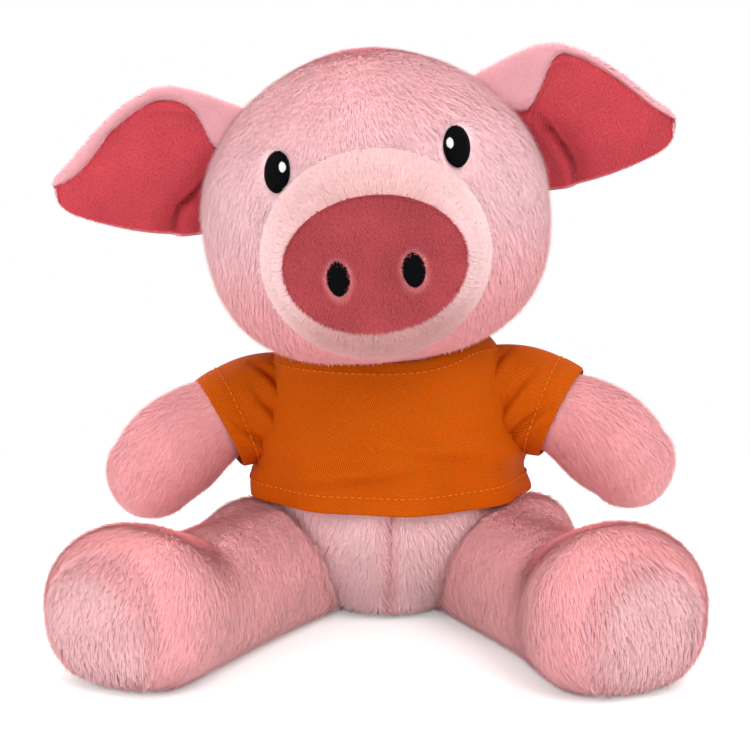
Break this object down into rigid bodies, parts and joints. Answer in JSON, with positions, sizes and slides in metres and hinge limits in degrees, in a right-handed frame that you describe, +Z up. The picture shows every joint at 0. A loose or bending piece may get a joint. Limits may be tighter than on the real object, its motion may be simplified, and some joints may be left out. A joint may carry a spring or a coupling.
{
  "type": "plush pig",
  "caption": "Seated stuffed plush pig with a round head, long snout, floppy ears and stub limbs, dressed in a short knit shirt that opens at the back.",
  "frame": {"origin": "middle of the flat patch under the seat, on the surface that the toy sits on", "axes": "+Z up, the toy faces -Y, its own left side is at +X"},
  "size_m": [0.2321, 0.1889, 0.2155],
  "materials": {
    "pink_pile": "long soft pile, combed, matt",
    "belly_pile": "long soft pile, matt",
    "pale_pile": "long pale pile that fans outwards, matt",
    "sole_pile": "long pale pile with a seam crease",
    "coral_plush": "short dense plush, mottled",
    "ear_plush": "short smooth plush with a soft sheen",
    "black_thread": "satin-stitched embroidery",
    "white_thread": "satin-stitched embroidery",
    "orange_knit": "fine warp-knit cloth with stitched hems",
    "closure_tape": "hook-and-loop tape",
    "fibre": "polyester stuffing",
    "pellet_cloth": "cotton bag of plastic pellets"
  },
  "bodies": {
    "torso": {"torso_panel_left": "belly_pile", "torso_panel_right": "belly_pile", "seat_panel": "belly_pile", "torso_stuffing": "fibre", "pellet_bag": "pellet_cloth", "shirt_front": "orange_knit", "shirt_back_left": "orange_knit", "shirt_back_right": "orange_knit", "closure_loop_strip": "closure_tape", "closure_hook_strip": "closure_tape"},
    "head": {"head_front_panel": "pink_pile", "head_back_panel": "pink_pile", "muzzle_band": "pale_pile", "snout_disc": "coral_plush", "nostril_left": "black_thread", "nostril_right": "black_thread", "eye_left": "black_thread", "eye_right": "black_thread", "eye_highlight_left": "white_thread", "eye_highlight_right": "white_thread", "head_stuffing": "fibre"},
    "ear_left": {"ear_back_left": "pink_pile", "ear_lining_left": "ear_plush"},
    "arm_left": {"arm_shell_left": "pink_pile", "arm_stuffing_left": "fibre", "shirt_sleeve_left": "orange_knit"},
    "leg_left": {"leg_shell_left": "pink_pile", "foot_sole_left": "sole_pile", "leg_stuffing_left": "fibre"},
    "ear_right": {"ear_back_right": "pink_pile", "ear_lining_right": "ear_plush"},
    "arm_right": {"arm_shell_right": "pink_pile", "arm_stuffing_right": "fibre", "shirt_sleeve_right": "orange_knit"},
    "leg_right": {"leg_shell_right": "pink_pile", "foot_sole_right": "sole_pile", "leg_stuffing_right": "fibre"},
    "tail": {"tail": "pink_pile"}
  },
  "joints": [
    {"name": "head_turn", "type": "hinge", "parent": "torso", "child": "head", "pos_m": [0.00141, -0.008, 0.09993], "axis": [-0.1219, 0, 0.9925], "range_deg": [-25, 25], "stiffness_Nm_per_rad": 0.4},
    {"name": "ear_flop_left", "type": "hinge", "parent": "head", "child": "ear_left", "pos_m": [0.04565, -0.00686, 0.18697], "axis": [0.5049, -0.0062, -0.8632], "range_deg": [-20, 20], "stiffness_Nm_per_rad": 0.03},
    {"name": "ear_flop_right", "type": "hinge", "parent": "head", "child": "ear_right", "pos_m": [-0.06581, -0.00509, 0.17177], "axis": [0.238, -0.0056, 0.9712], "range_deg": [-20, 20], "stiffness_Nm_per_rad": 0.03},
    {"name": "arm_lift_left", "type": "hinge", "parent": "torso", "child": "arm_left", "pos_m": [0.036, 0, 0.083], "axis": [0, -1, 0], "range_deg": [-12, 30], "stiffness_Nm_per_rad": 0.2, "deforming": ["shirt_sleeve_left"]},
    {"name": "arm_lift_right", "type": "hinge", "parent": "torso", "child": "arm_right", "pos_m": [-0.036, 0, 0.083], "axis": [0, 1, 0], "range_deg": [-12, 30], "stiffness_Nm_per_rad": 0.2, "deforming": ["shirt_sleeve_right"]},
    {"name": "leg_spread_left", "type": "hinge", "parent": "torso", "child": "leg_left", "pos_m": [0.032, -0.008, 0.0215], "axis": [0, 0, 1], "range_deg": [-8, 15], "stiffness_Nm_per_rad": 0.3},
    {"name": "leg_spread_right", "type": "hinge", "parent": "torso", "child": "leg_right", "pos_m": [-0.032, -0.008, 0.0215], "axis": [0, 0, -1], "range_deg": [-8, 15], "stiffness_Nm_per_rad": 0.3},
    {"name": "tail_wag", "type": "hinge", "parent": "torso", "child": "tail", "pos_m": [0, 0.04115, 0.031], "axis": [0, 0, 1], "range_deg": [-20, 20], "stiffness_Nm_per_rad": 0.01}
  ]
}
